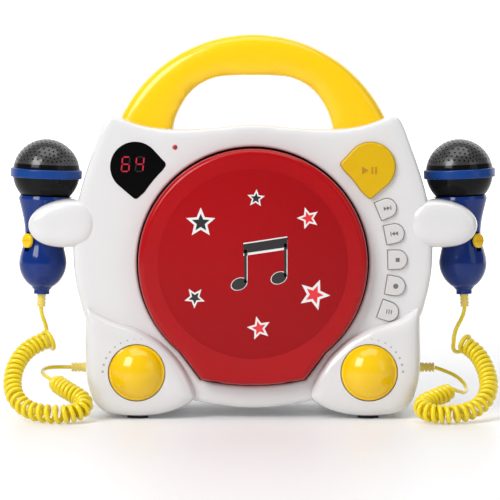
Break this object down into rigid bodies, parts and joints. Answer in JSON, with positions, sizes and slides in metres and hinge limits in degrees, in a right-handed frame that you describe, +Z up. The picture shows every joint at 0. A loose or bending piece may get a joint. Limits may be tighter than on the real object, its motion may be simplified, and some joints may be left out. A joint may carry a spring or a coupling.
{
  "type": "karaoke machine with disc tray",
  "caption": "Toy-like karaoke disc player: white casing with a round red disc lid, yellow arched handle, side arms holding corded microphones, volume knobs on rounded feet.",
  "frame": {"origin": "on the surface the machine stands on, under the middle of the casing (midway between its side limits and its front and back limits, cords left out)", "axes": "+X to the right seen from the front, +Z up, the lid faces -Y"},
  "size_m": [0.3261, 0.1372, 0.2516],
  "materials": {
    "white_plastic": "glossy",
    "yellow_plastic": "glossy",
    "red_plastic": "glossy",
    "label_film": "printed film under a clear coat",
    "window_plastic": "smoked, glossy",
    "lamp_plastic": "clear red",
    "key_plastic": "satin",
    "play_plastic": "glossy",
    "blue_plastic": "glossy",
    "band_plastic": "satin",
    "grille_plastic": "perforated, matte",
    "black_plastic": "matte",
    "grey_plastic": "matte",
    "board_laminate": "solder resist",
    "steel": "bare",
    "motor_can": "plated",
    "spring_brass": "nickel-free strip",
    "paper_cone": "pressed paper",
    "pad_rubber": "matte",
    "cord_jacket": "glossy",
    "relief_rubber": "satin"
  },
  "bodies": {
    "casing": {"battery_box": "black_plastic", "battery_contacts": "spring_brass", "carry_handle": "yellow_plastic", "case_screws": "steel", "cord_coil_left": "cord_jacket", "cord_coil_right": "cord_jacket", "cord_lead_left": "cord_jacket", "cord_lead_right": "cord_jacket", "cord_mic_lead_left": "cord_jacket", "cord_mic_lead_right": "cord_jacket", "cord_relief_left": "relief_rubber", "cord_relief_right": "relief_rubber", "dc_jack": "black_plastic", "disc_bay": "black_plastic", "display_module": "black_plastic", "display_window": "window_plastic", "drive_chassis": "grey_plastic", "front_shell": "white_plastic", "guide_rods": "steel", "hinge_pin": "steel", "key_board": "board_laminate", "main_board": "board_laminate", "mic_holder_left": "white_plastic", "mic_holder_right": "white_plastic", "mic_volume_control": "grey_plastic", "power_lamp": "lamp_plastic", "rear_shell": "white_plastic", "rubber_feet": "pad_rubber", "sled_motor": "motor_can", "speaker": "paper_cone", "spindle_motor": "motor_can", "volume_control": "grey_plastic"},
    "lid": {"lid": "red_plastic", "lid_label": "label_film"},
    "lid_catch": {"lid_catch": "black_plastic"},
    "play_button": {"play_button": "play_plastic"},
    "key_1": {"key_1": "key_plastic"},
    "key_2": {"key_2": "key_plastic"},
    "key_3": {"key_3": "key_plastic"},
    "key_4": {"key_4": "key_plastic"},
    "key_5": {"key_5": "key_plastic"},
    "volume_knob": {"volume_knob": "yellow_plastic"},
    "mic_volume_knob": {"mic_volume_knob": "yellow_plastic"},
    "turntable": {"turntable": "black_plastic"},
    "pickup_sled": {"pickup_sled": "grey_plastic"},
    "sled_gear": {"sled_gear": "grey_plastic"},
    "battery_door": {"battery_door": "white_plastic"},
    "mic_left": {"mic_head_left": "grille_plastic", "mic_band_left": "band_plastic", "mic_grip_left": "blue_plastic", "mic_relief_left": "relief_rubber"},
    "mic_right": {"mic_head_right": "grille_plastic", "mic_band_right": "band_plastic", "mic_grip_right": "blue_plastic", "mic_relief_right": "relief_rubber"},
    "mic_switch_left": {"mic_switch_left": "yellow_plastic"},
    "mic_switch_right": {"mic_switch_right": "yellow_plastic"}
  },
  "joints": [
    {"name": "lid_hinge", "type": "hinge", "parent": "casing", "child": "lid", "pos_m": [0, -0.046, 0.029], "axis": [1, 0, 0], "range_deg": [0, 80]},
    {"name": "catch_slide", "type": "slide", "parent": "casing", "child": "lid_catch", "axis": [0, 1, 0], "range_m": [0, 0.0025], "stiffness_N_per_m": 400},
    {"name": "play_press", "type": "slide", "parent": "casing", "child": "play_button", "axis": [0, 1, 0], "range_m": [0, 0.0011], "stiffness_N_per_m": 500},
    {"name": "key_1_press", "type": "slide", "parent": "casing", "child": "key_1", "axis": [0, 1, 0], "range_m": [0, 0.0011], "stiffness_N_per_m": 500},
    {"name": "key_2_press", "type": "slide", "parent": "casing", "child": "key_2", "axis": [0, 1, 0], "range_m": [0, 0.0011], "stiffness_N_per_m": 500},
    {"name": "key_3_press", "type": "slide", "parent": "casing", "child": "key_3", "axis": [0, 1, 0], "range_m": [0, 0.0011], "stiffness_N_per_m": 500},
    {"name": "key_4_press", "type": "slide", "parent": "casing", "child": "key_4", "axis": [0, 1, 0], "range_m": [0, 0.0011], "stiffness_N_per_m": 500},
    {"name": "key_5_press", "type": "slide", "parent": "casing", "child": "key_5", "axis": [0, 1, 0], "range_m": [0, 0.0011], "stiffness_N_per_m": 500},
    {"name": "volume_turn", "type": "hinge", "parent": "casing", "child": "volume_knob", "pos_m": [-0.0762, -0.05, 0.031], "axis": [0, -1, 0], "range_deg": [-140, 140]},
    {"name": "mic_volume_turn", "type": "hinge", "parent": "casing", "child": "mic_volume_knob", "pos_m": [0.0762, -0.05, 0.031], "axis": [0, -1, 0], "range_deg": [-140, 140]},
    {"name": "disc_spin", "type": "hinge", "parent": "casing", "child": "turntable", "pos_m": [0, -0.03, 0.1027], "axis": [0, -1, 0], "continuous": true},
    {"name": "sled_slide", "type": "slide", "parent": "casing", "child": "pickup_sled", "axis": [1, 0, 0], "range_m": [0, 0.03]},
    {"name": "sled_gear_turn", "type": "hinge", "parent": "casing", "child": "sled_gear", "pos_m": [0.042, -0.017, 0.0735], "axis": [0, 1, 0], "range_deg": [-5, 245]},
    {"name": "battery_door_hinge", "type": "hinge", "parent": "casing", "child": "battery_door", "pos_m": [0, 0.0568, 0.0292], "axis": [-1, 0, 0], "range_deg": [0, 100]},
    {"name": "mic_left_slide", "type": "slide", "parent": "casing", "child": "mic_left", "axis": [-0.999, 0, 0.0436], "range_m": [0, 0.05]},
    {"name": "mic_right_slide", "type": "slide", "parent": "casing", "child": "mic_right", "axis": [0.999, 0, 0.0436], "range_m": [0, 0.05]},
    {"name": "mic_switch_left_slide", "type": "slide", "parent": "mic_left", "child": "mic_switch_left", "axis": [0.0436, 0, 0.999], "range_m": [-0.002, 0.002]},
    {"name": "mic_switch_right_slide", "type": "slide", "parent": "mic_right", "child": "mic_switch_right", "axis": [-0.0436, 0, 0.999], "range_m": [-0.002, 0.002]}
  ],
  "couplings": [
    {"joint": "sled_gear_turn", "follows": "sled_slide", "rad_per_m": 138.89}
  ]
}
